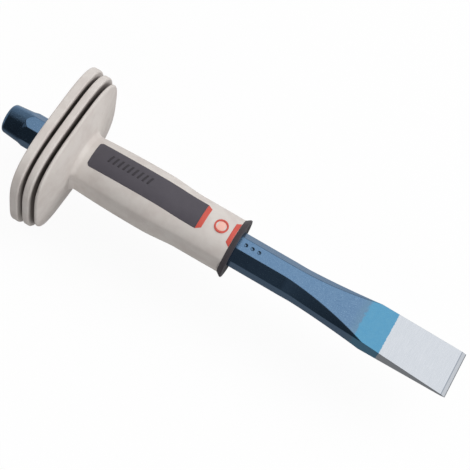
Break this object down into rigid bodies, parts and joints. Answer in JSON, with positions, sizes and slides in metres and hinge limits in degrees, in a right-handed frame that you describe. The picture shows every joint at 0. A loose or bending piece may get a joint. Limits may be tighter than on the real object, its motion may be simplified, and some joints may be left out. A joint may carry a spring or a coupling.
{
  "type": "cold chisel",
  "caption": "Flat cold chisel with an octagonal lacquered bar, a bare ground tip and a push-on grip with a layered hand guard.",
  "frame": {"origin": "centre of the struck face of the head, on the bar's axis", "axes": "+X along the bar towards the cutting edge, +Y along the cutting edge, +Z square to the flat of the blade"},
  "size_m": [0.25, 0.0784, 0.0682],
  "materials": {
    "lacquered_steel": "satin blue lacquer over forged steel, with the tip ground bare",
    "red_core": "satin moulded plastic",
    "grey_elastomer": "fine matt moulded texture",
    "dark_inlay": "matt moulded rubber",
    "badge": "gloss, with a pale domed centre",
    "dark_collar": "matt moulded rubber"
  },
  "bodies": {
    "bar": {"chisel_bar": "lacquered_steel"},
    "guard": {"core_sleeve": "red_core", "guard_grip": "grey_elastomer", "inlay_top": "dark_inlay", "inlay_bottom": "dark_inlay", "badge_top": "badge", "badge_bottom": "badge", "front_collar": "dark_collar"}
  },
  "joints": [
    {"name": "guard_slide", "type": "slide", "parent": "bar", "child": "guard", "axis": [-1, 0, 0], "range_m": [-0.026, 0.0135]}
  ]
}
